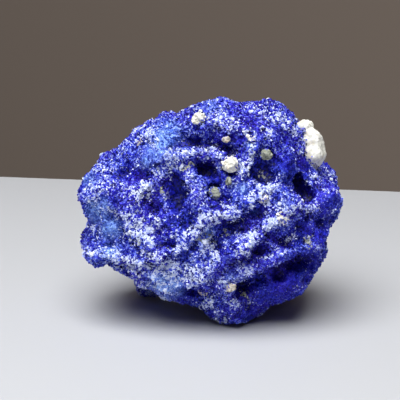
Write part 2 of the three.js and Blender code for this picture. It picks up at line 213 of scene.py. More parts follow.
# where powder, grey clay and paler azurite lie, and bare azurite that also takes painted shade (a deeper blue
# in the pits and grooves and low under the lip): (strength, reach, path) on the same sheet
paint = {
    "dust": [
        (1.0, 2.8, [(-14.0, 32.8), (-16.1, 29.8), (-16.7, 27.0)]),
        (1.25, 3.9, [(-16.7, 26.6), (-15.7, 23.6), (-14.3, 21.2)]),
        (1.0, 2.6, [(-14.2, 20.2), (-12.7, 18.4)]),
        (1.2, 1.7, [(-8.0, 19.2), (-6.6, 20.2), (-4.5, 22.4), (-2.9, 24.1), (-0.8, 25.7)]),
        (1.0, 2.2, [(-2.9, 23.9), (-0.8, 25.9), (1.9, 26.6)]),
        (1.1, 1.9, [(1.9, 26.6), (4.0, 27.4), (6.6, 29.0), (8.9, 30.0)]),
        (0.9, 1.9, [(10.1, 31.0), (12.4, 32.8), (13.5, 33.9)]),
        (0.9, 1.7, [(11.9, 31.7), (13.0, 29.0), (15.1, 28.2)]), (0.8, 1.3, [(4.7, 25.8)]),
        (1.0, 1.6, [(-0.1, 21.0), (0.4, 19.4), (0.8, 16.9)]),
        (1.0, 1.7, [(5.7, 18.2), (7.2, 19.1), (9.4, 21.3), (12.0, 24.1), (14.1, 25.7), (15.7, 26.8)]),
        (0.8, 1.4, [(7.7, 22.4), (9.3, 23.6)]), (1.1, 2.3, [(15.7, 26.8), (17.8, 28.5)]),
        (0.7, 1.2, [(18.7, 28.6), (21.3, 28.5)]),
        (0.9, 2.5, [(-26.1, 19.2), (-23.8, 19.1), (-20.6, 17.5), (-17.4, 15.8)]),
        (1.1, 3.8, [(-16.7, 15.0), (-14.2, 13.6), (-10.5, 13.5), (-7.7, 14.4)]),
        (1.2, 2.9, [(-9.9, 15.4), (-7.2, 15.2), (-4.6, 14.1), (-3.5, 13.0)]),
        (0.6, 1.8, [(-9.8, 39.8), (-7.1, 40.0), (-3.5, 40.8), (0.8, 40.3), (2.7, 38.6)]),
        (1.2, 2.5, [(5.3, 37.0), (7.3, 36.8)]),
        (1.0, 1.4, [(7.9, 37.6), (8.3, 39.8), (9.1, 42.4), (8.3, 44.0), (7.0, 45.1)]),
        (0.9, 2.3, [(-15.5, 44.9), (-13.9, 44.3), (-12.4, 43.0)]),
        (0.6, 2.3, [(-20.1, 41.2), (-18.1, 42.6), (-16.5, 44.0)]),
        (0.7, 2.9, [(10.1, 49.4), (12.2, 48.9), (14.3, 47.8)]), (0.7, 1.9, [(16.5, 46.4), (17.7, 44.6)]),
        (0.6, 2.0, [(1.8, 47.0), (4.9, 46.1)]), (0.7, 2.5, [(-25.2, 32.8), (-23.1, 32.2), (-21.7, 32.8)]),
        (0.6, 2.3, [(-23.1, 36.8), (-21.1, 38.6)]), (0.5, 2.3, [(-25.1, 24.0)]),
        (0.6, 1.7, [(-21.5, 28.0), (-20.3, 26.6)]), (0.7, 1.7, [(-12.3, 35.8), (-9.7, 36.6), (-6.5, 37.8)]),
        (0.9, 1.6, [(-2.4, 6.8), (-1.3, 6.3), (-0.2, 7.8)]), (0.9, 1.2, [(1.9, 11.9), (3.9, 11.3)]),
        (0.6, 1.3, [(-8.2, 9.4)]), (0.9, 1.3, [(21.9, 35.5)]), (0.9, 1.3, [(24.5, 36.4), (24.7, 34.9)]),
        (0.8, 1.2, [(26.7, 34.4), (26.5, 31.6)]), (0.8, 1.6, [(-8.8, 24.1), (-7.7, 22.4)]),
        (0.8, 0.9, [(-12.5, 26.6), (-10.7, 25.4)]), (0.5, 1.3, [(9.0, 34.0), (10.3, 32.5)]),
        (0.7, 1.2, [(12.7, 17.7), (10.3, 17.2)]), (0.9, 1.2, [(15.9, 21.6), (17.7, 21.3)]),
        (0.5, 1.4, [(12.3, 44.2), (10.7, 45.6)]), (0.6, 1.2, [(-0.2, 13.6)]),
        (0.7, 0.9, [(3.1, 4.2), (3.7, 2.6)]), (0.6, 1.3, [(7.8, 6.4), (8.9, 7.4)]),
    ],
    "clay": [
        (1.5, 1.4, [(-2.3, 21.9), (-0.1, 21.6)]), (1.2, 1.0, [(-5.8, 18.3)]),
        (1.2, 0.8, [(-11.3, 32.6), (-9.5, 31.2)]), (1.5, 1.1, [(2.9, 23.1)]), (1.5, 1.0, [(3.6, 18.3)]),
        (0.9, 1.0, [(10.7, 18.6)]), (1.4, 1.7, [(20.7, 21.4), (21.7, 19.8)]),
        (1.0, 1.1, [(9.9, 35.8), (11.7, 35.0)]), (1.4, 0.9, [(16.1, 21.6), (17.5, 21.2)]),
        (0.9, 1.3, [(7.3, 10.0), (8.5, 8.8)]), (1.2, 1.0, [(7.9, 6.4)]), (1.0, 1.0, [(15.1, 10.8)]),
        (1.2, 1.3, [(-15.3, 21.0), (-13.7, 20.0)]), (1.0, 1.1, [(-6.5, 37.0), (-4.1, 37.6)]),
        (0.9, 1.0, [(-21.3, 28.6)]), (0.9, 1.3, [(-9.3, 39.2)]), (1.0, 1.0, [(2.3, 13.4)]),
        (1.0, 1.2, [(18.5, 43.2)]), (1.0, 1.0, [(9.5, 33.0)]),
    ],
    "sky": [
        (1.1, 3.6, [(-11.5, 41.0), (-8.7, 44.6)]), (1.0, 1.8, [(-13.6, 38.6)]), (0.7, 2.4, [(-26.0, 34.4)]),
        (1.1, 4.2, [(-24.0, 27.6)]), (1.1, 3.6, [(-21.3, 24.0)]), (1.0, 3.2, [(-21.3, 18.6)]),
        (1.3, 4.4, [(-11.2, 11.6), (-8.6, 11.2)]), (0.9, 1.8, [(-0.5, 23.2)]), (0.9, 1.4, [(9.2, 27.8)]),
        (0.7, 2.2, [(6.7, 32.4)]), (0.7, 2.0, [(8.3, 42.6)]), (0.5, 2.6, [(-0.2, 50.6)]),
        (0.5, 2.0, [(15.3, 28.6)]), (0.5, 2.4, [(4.3, 12.8)]),
    ],
    # bare azurite, also painted with shade: darker in the pits and grooves and low down under the lip
    "bare": [
        (0.9, 6.5, [(13.7, 12.6), (17.7, 14.0), (21.7, 16.4)]), (0.6, 3.6, [(17.7, 22.8), (21.3, 24.2)]),
        (0.7, 3.4, [(23.9, 22.4), (24.9, 26.0)]), (0.9, 3.0, [(-7.3, 33.0), (-6.7, 29.0)]),
        (0.6, 2.4, [(-12.1, 29.6)]), (0.8, 2.2, [(-1.3, 37.0), (0.7, 34.6)]), (0.8, 1.8, [(3.7, 30.6)]),
        (0.8, 2.4, [(10.3, 35.8), (12.3, 34.8)]), (1.0, 3.2, [(18.9, 33.4), (20.7, 31.8)]),
        (0.9, 3.6, [(16.3, 37.0), (19.9, 37.6)]), (0.7, 3.2, [(22.7, 31.0), (24.9, 28.4), (25.9, 31.4)]),
        (0.7, 1.4, [(3.9, 24.4), (6.7, 25.6), (9.3, 27.2)]),
        (0.7, 1.6, [(-6.7, 42.4), (-2.1, 42.4), (1.9, 41.2)]), (0.5, 2.4, [(-8.1, 20.8), (-5.1, 18.4)]),
        (0.7, 1.8, [(-6.1, 9.2), (-3.5, 8.4)]), (0.8, 2.6, [(6.7, 10.4), (10.7, 9.6)]),
        (0.5, 2.2, [(-18.7, 36.4), (-15.7, 35.4)]), (0.6, 1.6, [(-25.5, 28.0), (-25.7, 24.6)]),
        (0.9, 4.6, [(7.9, 4.4), (11.3, 7.6), (16.7, 10.6), (19.9, 13.0)]),
        (0.4, 2.2, [(-19.7, 13.4), (-13.7, 9.6)]),
    ],
}


# a path as a row of loose points, each carrying its stroke's rise and reach
def makeGuide(strokes):
    places, rises, reaches = [], [], []
    for rise, reach, path in strokes:
        for (x0, z0), (x1, z1) in zip(path, path[1:] or path):
            steps = max(1, round(hypot(x1 - x0, z1 - z0) / front["step"]))
            for i in range(steps + 1):
                share = i / steps
                places.append(Vector((x0 + (x1 - x0) * share, front["sheetY"], z0 + (z1 - z0) * share)) * mm)
                rises.append(rise)
                reaches.append(reach * mm)
    mesh = bpy.data.meshes.new("guide")
    mesh.from_pydata(places, [], [])
    mesh.attributes.new("rise", "FLOAT", "POINT").data.foreach_set("value", rises)
    mesh.attributes.new("reach", "FLOAT", "POINT").data.foreach_set("value", reaches)
    return addObject("guide", mesh)


# stores, on each point of a piece, how much of the nearest stroke it takes
def makeStrokeTree():
    tree, start = newGeometryTree("takeStrokes", [("Guide", "NodeSocketObject"),
                                                       ("Name", "NodeSocketString")])
    eye = Vector(camera["place"]) * mm
    place = addNode(tree, "GeometryNodeInputPosition")
    toEye = addNode(tree, "ShaderNodeVectorMath", {0: eye, 1: place}, operation="SUBTRACT")
    sight = addNode(tree, "ShaderNodeVectorMath", {0: toEye}, operation="NORMALIZE")
    normal = addNode(tree, "GeometryNodeInputNormal")
    turn = addNode(tree, "ShaderNodeVectorMath", {0: normal, 1: sight}, operation="DOT_PRODUCT").outputs[1]
    facing = addNode(tree, "ShaderNodeMapRange", {0: turn, 1: front["turnedAway"], 2: front["squareOn"]},
                     interpolation_type="SMOOTHSTEP")
    # where the sight line to this point crosses the sheet
    depth = addNode(tree, "ShaderNodeSeparateXYZ", {0: toEye}).outputs[1]
    share = addNode(tree, "ShaderNodeMath", {0: eye.y - front["sheetY"] * mm, 1: depth}, operation="DIVIDE")
    back = addNode(tree, "ShaderNodeVectorMath", {0: toEye, 3: share}, operation="SCALE")
    seen = addNode(tree, "ShaderNodeVectorMath", {0: eye, 1: back}, operation="SUBTRACT")
    stray = addNode(tree, "ShaderNodeTexNoise", {"Vector": place, "Scale": 1 / (front["wanderSize"] * mm)})
    centred = addNode(tree, "ShaderNodeVectorMath", {0: stray.outputs["Color"], 1: (0.5, 0.5, 0.5)},
                      operation="SUBTRACT")
    shift = addNode(tree, "ShaderNodeVectorMath", {0: centred, 3: 4 * front["wander"] * mm},
                    operation="SCALE")
    spot = addNode(tree, "ShaderNodeVectorMath", {0: seen, 1: shift}, operation="ADD")
    onSheet = addNode(tree, "ShaderNodeVectorMath", {0: spot, 1: (1, 0, 1)}, operation="MULTIPLY")
    spot = addNode(tree, "ShaderNodeVectorMath", {0: onSheet, 1: (0, front["sheetY"] * mm, 0)},
                   operation="ADD")
    guide = addNode(tree, "GeometryNodeObjectInfo", {"Object": start.outputs["Guide"]}).outputs["Geometry"]
    nearest = addNode(tree, "GeometryNodeSampleNearest", {0: guide, 1: spot})
    found = []
    for name, dataType in (("position", "FLOAT_VECTOR"), ("rise", "FLOAT"), ("reach", "FLOAT")):
        value = addNode(tree, "GeometryNodeInputNamedAttribute", {"Name": name}, data_type=dataType)
        found.append(addNode(tree, "GeometryNodeSampleIndex", {0: guide, "Value": value, "Index": nearest},
                             data_type=dataType))
    gap = addNode(tree, "ShaderNodeVectorMath", {0: spot, 1: found[0]}, operation="DISTANCE").outputs[1]
    fade = addNode(tree, "ShaderNodeMapRange", {0: gap, 1: found[2], 2: 0.0}, interpolation_type="SMOOTHSTEP")
    full = addNode(tree, "ShaderNodeMath", {0: fade, 1: found[1]}, operation="MULTIPLY")
    taken = addNode(tree, "ShaderNodeMath", {0: full, 1: facing}, operation="MULTIPLY")
    soft = addNode(tree, "GeometryNodeBlurAttribute", {0: taken, "Iterations": 3})
    stored = addNode(tree, "GeometryNodeStoreNamedAttribute",
                     {"Geometry": start, "Name": start.outputs["Name"], "Value": soft})
    addNode(tree, "NodeGroupOutput", {0: stored})
    return tree


strokeTree = makeStrokeTree()


def takeStrokes(piece, strokes, name):
    guide = makeGuide(strokes)
    applyTree(piece, strokeTree, {"Guide": guide, "Name": name})
    bpy.data.objects.remove(guide)


crust = {
    "firstVoxel": 0.55,
    "strokeGain": {"crests": 0.7, "grooves": 1.2, "pits": 1.0},
    "unevenSize": 3.2,  # how far apart a stroke swells and fades along its way
    "uneven": (0.45, 1.4),  # the least and the most of its rise
    "setBack": 0.15,  # room for the crystals inside the CAD shape
    "rounding": 12,  # passes that take the facets off the CAD shape
    "swells": (7.5, 0.45),  # size and height of the low swells
    "ridges": (9.0, 1.5),  # winding crests where the front strokes don't reach
    "gullies": (11.0, 1.6),
    "lineWidth": 0.075,  # half of a ridge's or gully's width, in units of its noise
    "knobs": (3.4, 0.75),
    "smallKnobs": (1.9, 0.42),
    "frontKnobs": 0.5,
    "pits": (4.6, 1.2),
    "smallPits": (2.3, 0.9),
    "pitShare": 0.35,
    "finishVoxel": 0.43,
    "grains": (1.2, 0.4),
    "fineGrains": (0.7, 0.24),
    "seed": 3.0,
}


# offsets the crust by broad relief: strokes at the front, and winding ridges, gullies, knobs and pits
def makeReliefTree():
    tree, start = newGeometryTree("raiseRelief")
    place = addNode(tree, "GeometryNodeInputPosition")
    parts = []
    uneven = addNode(tree, "ShaderNodeTexNoise", {"Vector": place, "Scale": 1 / (crust["unevenSize"] * mm),
                                                  "Detail": 2.0})
    for name, gain in crust["strokeGain"].items():
        value = addNode(tree, "GeometryNodeInputNamedAttribute", {"Name": name})
        varied = addNode(tree, "ShaderNodeMapRange", {0: uneven, 1: 0.35, 2: 0.65,
                                                      3: crust["uneven"][0] * gain,
                                                      4: crust["uneven"][1] * gain})
        parts.append(addNode(tree, "ShaderNodeMath", {0: value, 1: varied}, operation="MULTIPLY"))
    normal = addNode(tree, "GeometryNodeInputNormal")
    turned = addNode(tree, "ShaderNodeVectorMath", {0: normal, 1: (0, -1, 0.2)}, operation="DOT_PRODUCT")
    away = addNode(tree, "ShaderNodeMapRange", {0: turned.outputs[1], 1: 0.0, 2: -0.5, 3: 0.2, 4: 1.0},
                   interpolation_type="SMOOTHSTEP")
    # low swells all over
    size, height = crust["swells"]
    swell = addNode(tree, "ShaderNodeTexNoise", {"Vector": place, "Scale": 1 / (size * mm), "Detail": 1.5})
    parts.append(addNode(tree, "ShaderNodeMapRange", {0: swell, 1: 0.25, 2: 0.75, 3: -height, 4: height}))
    # ridges stand where a noise crosses its middle, and gullies where another one does
    for key, sign, seed in (("ridges", 1, 4.0), ("gullies", -1, 9.0)):
        size, height = crust[key]
        noise = addNode(tree, "ShaderNodeTexNoise", {"Vector": place, "W": crust["seed"] + seed,
                                                     "Scale": 1 / (size * mm), "Detail": 1.2},
                        noise_dimensions="4D")
        off = addNode(tree, "ShaderNodeMath", {0: noise, 1: 0.5}, operation="SUBTRACT")
        off = addNode(tree, "ShaderNodeMath", {0: off}, operation="ABSOLUTE")
        line = addNode(tree, "ShaderNodeMapRange", {0: off, 1: crust["lineWidth"], 2: 0.0, 4: sign * height},
                       interpolation_type="SMOOTHSTEP")
        parts.append(addNode(tree, "ShaderNodeMath", {0: line, 1: away}, operation="MULTIPLY"))
    # knobs all over, as the druse grew from many centres, and lower at the front
    knobShare = addNode(tree, "ShaderNodeMapRange", {0: away, 3: crust["frontKnobs"]})
    for key in ("knobs", "smallKnobs"):
        size, height = crust[key]
        knob = addNode(tree, "ShaderNodeTexVoronoi", {"Vector": place, "Scale": 1 / (size * mm),
                                                      "Smoothness": 0.25}, feature="SMOOTH_F1")
        knob = addNode(tree, "ShaderNodeMapRange", {0: knob.outputs["Distance"], 1: 0.7, 2: 0.1,
                                                    3: -0.65 * height, 4: 0.35 * height})
        parts.append(addNode(tree, "ShaderNodeMath", {0: knob, 1: knobShare}, operation="MULTIPLY"))
    # pits in some of the cells of a pattern
    for key in ("pits", "smallPits"):
        size, depth = crust[key]
        cell = addNode(tree, "ShaderNodeTexVoronoi", {"Vector": place, "Scale": 1 / (size * mm)})
        dent = addNode(tree, "ShaderNodeMapRange", {0: cell.outputs["Distance"], 1: 0.45, 2: 0.12, 4: -depth},
                       interpolation_type="SMOOTHSTEP")
        chosen = addNode(tree, "ShaderNodeSeparateXYZ", {0: cell.outputs["Color"]})
        chosen = addNode(tree, "ShaderNodeMath", {0: chosen, 1: crust["pitShare"]}, operation="LESS_THAN")
        parts.append(addNode(tree, "ShaderNodeMath", {0: dent, 1: chosen}, operation="MULTIPLY"))
    total = parts[0]
    for part in parts[1:]:
        total = addNode(tree, "ShaderNodeMath", {0: total, 1: part}, operation="ADD")
    total = addNode(tree, "ShaderNodeMath", {0: total, 1: crust["setBack"]}, operation="SUBTRACT")
    rise = addNode(tree, "ShaderNodeMath", {0: total, 1: mm}, operation="MULTIPLY")
    addNode(tree, "NodeGroupOutput", {0: moveOut(tree, start, rise)})
    return tree


# the druse's grain, and then nothing hangs below the table
def makeGrainTree():
    tree, start = newGeometryTree("raiseGrain")
    place = addNode(tree, "GeometryNodeInputPosition")
    parts = []
    for key in ("grains", "fineGrains"):
        size, height = crust[key]
        cell = addNode(tree, "ShaderNodeTexVoronoi", {"Vector": place, "Scale": 1 / (size * mm)})
        parts.append(addNode(tree, "ShaderNodeMapRange", {0: cell.outputs["Distance"], 1: 0.75, 2: 0.0,
                                                          3: -0.5 * height * mm, 4: 0.5 * height * mm}))
    rise = addNode(tree, "ShaderNodeMath", {0: parts[0], 1: parts[1]}, operation="ADD")
    raised = moveOut(tree, start, rise)
    place = addNode(tree, "GeometryNodeInputPosition")
    parts = addNode(tree, "ShaderNodeSeparateXYZ", {0: place})
    height = addNode(tree, "ShaderNodeMath", {0: parts.outputs[2], 1: 0.0}, operation="MAXIMUM")
    above = addNode(tree, "ShaderNodeCombineXYZ", {0: parts, 1: parts.outputs[1], 2: height})
    stood = addNode(tree, "GeometryNodeSetPosition", {"Geometry": raised, "Position": above})
    addNode(tree, "NodeGroupOutput", {0: stood})
    return tree


weather = {
    # each mask's size, detail, the span of its noise that counts, and its least and most
    "masks": {
        "patch": (9.0, 2.0, 0.38, 0.62, 0.0, 1.0),
        "clump": (1.0, 3.0, 0.42, 0.6, 0.08, 1.35),
        "drift": (4.2, 1.0, 0.36, 0.56, 0.35, 1.15),
    },
    "mostCover": {"dust": 0.55, "clay": 0.8},
    "crestBlur": 30,
    "hollowBlur": 300,
    "crestDust": (0.10, 0.55),  # mm that a spot stands proud of its surroundings: no powder, all powder
    "crestDustStrength": 0.5,
    "clayHollow": (-0.5, -1.6),  # mm that a spot lies in: no clay, all clay
    "clayHollowStrength": 0.12,
}


# stores how far each spot stands proud, and adds powder to the crests and clay to the hollows
def makeWeatherTree():
    tree, start = newGeometryTree("weather")
    place = addNode(tree, "GeometryNodeInputPosition")
    normal = addNode(tree, "GeometryNodeInputNormal")
    geometry = start
    proud = {}
    for name, passes in (("crest", weather["crestBlur"]), ("hollow", weather["hollowBlur"])):
        blurred = addNode(tree, "GeometryNodeBlurAttribute", {0: place, "Iterations": passes},
                          data_type="FLOAT_VECTOR")
        away = addNode(tree, "ShaderNodeVectorMath", {0: place, 1: blurred}, operation="SUBTRACT")
        out = addNode(tree, "ShaderNodeVectorMath", {0: away, 1: normal}, operation="DOT_PRODUCT")
        value = addNode(tree, "ShaderNodeMath", {0: out.outputs[1], 1: 1 / mm}, operation="MULTIPLY")
        soft = addNode(tree, "GeometryNodeBlurAttribute", {0: value, "Iterations": 2})
        geometry = addNode(tree, "GeometryNodeStoreNamedAttribute",
                           {"Geometry": geometry, "Name": name, "Value": soft})
        proud[name] = addNode(tree, "GeometryNodeInputNamedAttribute", {"Name": name})
    masks = {}
    for name, (size, detail, low, high, least, most) in weather["masks"].items():
        noise = addNode(tree, "ShaderNodeTexNoise", {"Vector": place, "Scale": 1 / (size * mm),
                                                     "Detail": detail})
        masks[name] = addNode(tree, "ShaderNodeMapRange", {0: noise, 1: low, 2: high, 3: least, 4: most})
    low, high = weather["crestDust"]
    onCrest = addNode(tree, "ShaderNodeMapRange", {0: proud["crest"], 1: low, 2: high,
                                                   4: weather["crestDustStrength"]})
    settled = addNode(tree, "ShaderNodeMath", {0: onCrest, 1: masks["patch"]}, operation="MULTIPLY")
    # the powder lies in clumps, and the clumps in drifts
    clump = addNode(tree, "ShaderNodeMath", {0: masks["clump"], 1: masks["drift"]}, operation="MULTIPLY")
    low, high = weather["clayHollow"]
    inHollow = addNode(tree, "ShaderNodeMapRange", {0: proud["hollow"], 1: low, 2: high,
                                                  4: weather["clayHollowStrength"]})
    inHollow = addNode(tree, "ShaderNodeMath", {0: inHollow, 1: masks["patch"]}, operation="MULTIPLY")
    bare = addNode(tree, "GeometryNodeInputNamedAttribute", {"Name": "bare"})
    kept = addNode(tree, "ShaderNodeMath", {0: 1.0, 1: bare}, operation="SUBTRACT", use_clamp=True)
    settled = addNode(tree, "ShaderNodeMath", {0: settled, 1: kept}, operation="MULTIPLY")
    for name, extra in (("dust", settled), ("clay", inHollow)):
        drawn = addNode(tree, "GeometryNodeInputNamedAttribute", {"Name": name})
        both = addNode(tree, "ShaderNodeMath", {0: drawn, 1: extra}, operation="MAXIMUM")
        both = addNode(tree, "ShaderNodeMath", {0: both, 1: clump}, operation="MULTIPLY")
        both = addNode(tree, "ShaderNodeMath", {0: both, 1: weather["mostCover"][name]}, operation="MINIMUM")
        geometry = addNode(tree, "GeometryNodeStoreNamedAttribute",
                           {"Geometry": geometry, "Name": name, "Value": both})
    addNode(tree, "NodeGroupOutput", {0: geometry})
    return tree


azuriteCrust = copyNode("azurite_mass", "azuriteCrust")
applyModifier(azuriteCrust, "REMESH", mode="VOXEL", voxel_size=crust["firstVoxel"] * mm)
applyModifier(azuriteCrust, "SMOOTH", factor=0.5, iterations=crust["rounding"])
for strokeName in ("crests", "grooves", "pits"):
    takeStrokes(azuriteCrust, front[strokeName], strokeName)
applyTree(azuriteCrust, makeReliefTree())
applyModifier(azuriteCrust, "REMESH", mode="VOXEL", voxel_size=crust["finishVoxel"] * mm)
applyTree(azuriteCrust, makeGrainTree())
for strokeName in ("dust", "clay", "sky", "bare"):
    takeStrokes(azuriteCrust, paint[strokeName], strokeName)
applyTree(azuriteCrust, makeWeatherTree())
selectOnly(azuriteCrust)
bpy.ops.object.shade_smooth()
print("azurite crust:", len(azuriteCrust.data.polygons), "faces")


crystals = {
    "coarse": {"count": 1.7, "size": (0.44, 0.78), "seed": 5},  # count to the square millimetre
    "middling": {"count": 1.8, "size": (0.34, 0.62), "seed": 8},
    "fine": {"count": 1.8, "size": (0.28, 0.50), "seed": 12},
    "finest": {"count": 1.8, "size": (0.22, 0.40), "seed": 16},
    "tilt": 42.0,
    "onBare": 0.55,  # on bare ground each shrinks to this share of the least size
}


# a stubby wedge-topped azurite crystal, one unit tall, with eight faces
def makeCrystal():
    bpy.ops.object.select_all(action="DESELECT")
    bpy.ops.mesh.primitive_cube_add(size=1.0, location=(0, 0, 0.1), scale=(0.85, 0.6, 1.0))
    crystal = bpy.context.object
    crystal.name = "oneCrystal"
    bpy.ops.object.transform_apply(location=True, rotation=True, scale=True)
    editOnly(crystal, "FACE", lambda face: face.normal.z > 0.9)
    bpy.ops.transform.resize(value=(0.7, 0.0, 1.0))
    bpy.ops.mesh.select_all(action="SELECT")
    bpy.ops.mesh.remove_doubles(threshold=0.001)
    bpy.ops.mesh.quads_convert_to_tris()
    bpy.ops.object.mode_set(mode="OBJECT")
    print("one crystal:", len(crystal.data.polygons), "faces")
    return crystal


# strews copies of one small mesh over a piece: where a named attribute says so, or near another piece
def strew(name, base, grain, kind, tilt, near=None):
    tree, start = newGeometryTree("strew" + name, [("Grain", "NodeSocketObject"),
                                                   ("Near", "NodeSocketObject")])
    size, seed = kind["size"], kind["seed"]
    density = kind["count"] / mm / mm
    if near:
        other = addNode(tree, "GeometryNodeObjectInfo", {"Object": start.outputs["Near"]})
        gap = addNode(tree, "GeometryNodeProximity", {0: other.outputs["Geometry"]}).outputs["Distance"]
        density = addNode(tree, "ShaderNodeMapRange", {0: gap, 1: kind["none"] * mm,
                                                       2: kind["full"] * mm, 4: density})
    if "where" in kind:
        attribute, low, high = kind["where"]
        amount = addNode(tree, "GeometryNodeInputNamedAttribute", {"Name": attribute})
        density = addNode(tree, "ShaderNodeMapRange", {0: amount, 1: low, 2: high, 4: density})
    place = addNode(tree, "GeometryNodeInputPosition")
    height = addNode(tree, "ShaderNodeSeparateXYZ", {0: place})
    clear = addNode(tree, "ShaderNodeMath", {0: height.outputs[2], 1: size[1] * mm}, operation="GREATER_THAN")
    points = addNode(tree, "GeometryNodeDistributePointsOnFaces",
                     {"Mesh": start, "Selection": clear, "Density": density, "Seed": seed})
    own = addNode(tree, "FunctionNodeRandomValue", {"Seed": seed + 1}, data_type="FLOAT_VECTOR")
    stored = addNode(tree, "GeometryNodeStoreNamedAttribute",
                     {"Geometry": points, "Name": "own", "Value": own}, data_type="FLOAT_VECTOR")
    grainMesh = addNode(tree, "GeometryNodeObjectInfo", {"Object": start.outputs["Grain"]})
    lean = addNode(tree, "FunctionNodeRandomValue",
                   {0: (-radians(tilt), -radians(tilt), -pi), 1: (radians(tilt), radians(tilt), pi),
                    "Seed": seed + 2}, data_type="FLOAT_VECTOR")
    leant = addNode(tree, "FunctionNodeRotateRotation", {0: points.outputs["Rotation"], 1: lean},
                    rotation_space="LOCAL")
    scale = addNode(tree, "FunctionNodeRandomValue", {2: size[0] * mm, 3: size[1] * mm,
                                                      "Seed": seed + 3}).outputs[1]
    bare = addNode(tree, "GeometryNodeInputNamedAttribute", {"Name": "bare"})
    scale = addNode(tree, "ShaderNodeMapRange", {0: bare, 3: scale, 4: crystals["onBare"] * size[0] * mm})
    strewn = addNode(tree, "GeometryNodeInstanceOnPoints",
                     {"Points": stored, "Instance": grainMesh.outputs["Geometry"], "Rotation": leant,
                      "Scale": scale})
    real = addNode(tree, "GeometryNodeRealizeInstances", {0: strewn})
    addNode(tree, "NodeGroupOutput", {0: real})
    piece = addObject(name, base.data.copy())
    applyTree(piece, tree, {"Grain": grain, "Near": near or grain})
    print(name + ":", len(piece.data.polygons), "faces")
    return piece


oneCrystal = makeCrystal()
crystalPieces = []
for key in ("coarse", "middling", "fine", "finest"):
    crystalPieces.append(strew("azuriteCrystals" + key.capitalize(), azuriteCrust, oneCrystal, crystals[key],
                               crystals["tilt"]))

crumbs = {
    "kaolinCrumbs": {"count": 3.4, "size": (0.24, 0.62), "where": ("dust", 0.22, 0.56), "seed": 21},
    "kaolinFlakes": {"count": 0.16, "size": (0.5, 1.15), "where": ("dust", 0.04, 0.3), "seed": 27},
    "tilt": 180.0,
}

bpy.ops.object.select_all(action="DESELECT")
bpy.ops.mesh.primitive_ico_sphere_add(subdivisions=1, radius=0.5)
oneCrumb = bpy.context.object
bpy.ops.object.mode_set(mode="EDIT")
bpy.ops.transform.vertex_random(offset=0.12, seed=4)
bpy.ops.object.mode_set(mode="OBJECT")
crumbPieces = []
for name in ("kaolinCrumbs", "kaolinFlakes"):
    crumbPieces.append(strew(name, azuriteCrust, oneCrumb, crumbs[name], crumbs["tilt"]))
bpy.data.objects.remove(oneCrumb)


# Each stone is a CAD node's shape, rounded off and roughened: its voxel, the passes of rounding, then the
# size and height of its lumps and of its grit. A fuller foot is (height, stretch, reach above it).
stones = {
    "clay_nodule": {"voxel": 0.22, "rounding": 5, "lumps": (2.6, 0.35), "grit": (0.5, 0.12),
                    "fuller": (3.0, 1.28, 3.5)},
    "clay_lump_front": {"voxel": 0.13, "rounding": 3, "lumps": (1.7, 0.75), "grit": (0.6, 0.14)},
    "clay_lump_crown": {"voxel": 0.13, "rounding": 3, "lumps": (1.3, 0.9), "grit": (0.5, 0.12)},
    "clay_lump_right": {"voxel": 0.13, "rounding": 3, "lumps": (1.3, 0.9), "grit": (0.5, 0.14)},
    "clay_lump_back": {"voxel": 0.13, "rounding": 3, "lumps": (1.6, 0.8), "grit": (0.5, 0.14)},
    "clay_chip_slope": {"voxel": 0.12, "rounding": 2, "lumps": (1.0, 0.7), "grit": (0.4, 0.2)},
    "clay_chip_shelf": {"voxel": 0.12, "rounding": 2, "lumps": (1.0, 0.7), "grit": (0.4, 0.2)},
    "grey_chip_upper": {"voxel": 0.12, "rounding": 2, "lumps": (1.6, 0.6), "grit": (0.4, 0.15)},
    "grey_chip_middle": {"voxel": 0.12, "rounding": 2, "lumps": (1.1, 0.9), "grit": (0.4, 0.15)},
    "grey_pebble_hollow": {"voxel": 0.12, "rounding": 4, "lumps": (2.0, 0.45), "grit": (0.4, 0.15)},
    "tan_grain_groove": {"voxel": 0.10, "rounding": 3, "lumps": (0.9, 0.5), "grit": (0.35, 0.1)},
    "tan_grain_foot": {"voxel": 0.10, "rounding": 3, "lumps": (0.9, 0.5), "grit": (0.35, 0.1)},
    "tan_grain_shoulder": {"voxel": 0.10, "rounding": 3, "lumps": (0.9, 0.6), "grit": (0.35, 0.1)},
    "tan_grain_under": {"voxel": 0.10, "rounding": 3, "lumps": (0.9, 0.5), "grit": (0.35, 0.1)},
}
stoneSlots = {"clay": "white_clay", "grey": "grey_clay", "tan": "tan_stone"}


# sinks a stone's surface between its lumps and raises its grit
def makeStoneTree():
    tree, start = newGeometryTree("roughenStone", [(name, "NodeSocketFloat") for name in
                                                   ("Lump Size", "Lump Height", "Grit Size", "Grit Height")])
    place = addNode(tree, "GeometryNodeInputPosition")
    scales = [addNode(tree, "ShaderNodeMath", {0: 1.0, 1: start.outputs[kind + " Size"]},
                      operation="DIVIDE") for kind in ("Lump", "Grit")]
    lump = addNode(tree, "ShaderNodeTexNoise", {"Vector": place, "Scale": scales[0], "Detail": 3.0})
    lump = addNode(tree, "ShaderNodeMapRange", {0: lump, 1: 0.3, 2: 0.62, 3: -1.0, 4: 0.15})
    grit = addNode(tree, "ShaderNodeTexVoronoi", {"Vector": place, "Scale": scales[1], "Smoothness": 0.3},
                   feature="SMOOTH_F1").outputs["Distance"]
    grit = addNode(tree, "ShaderNodeMapRange", {0: grit, 1: 0.75, 2: 0.1, 3: -0.7, 4: 0.3})
    rise = addNode(tree, "ShaderNodeMath", {0: lump, 1: start.outputs["Lump Height"]}, operation="MULTIPLY")
    rise = addNode(tree, "ShaderNodeMath", {0: grit, 1: start.outputs["Grit Height"], 2: rise},
                   operation="MULTIPLY_ADD")
    addNode(tree, "NodeGroupOutput", {0: moveOut(tree, start, rise)})
    return tree


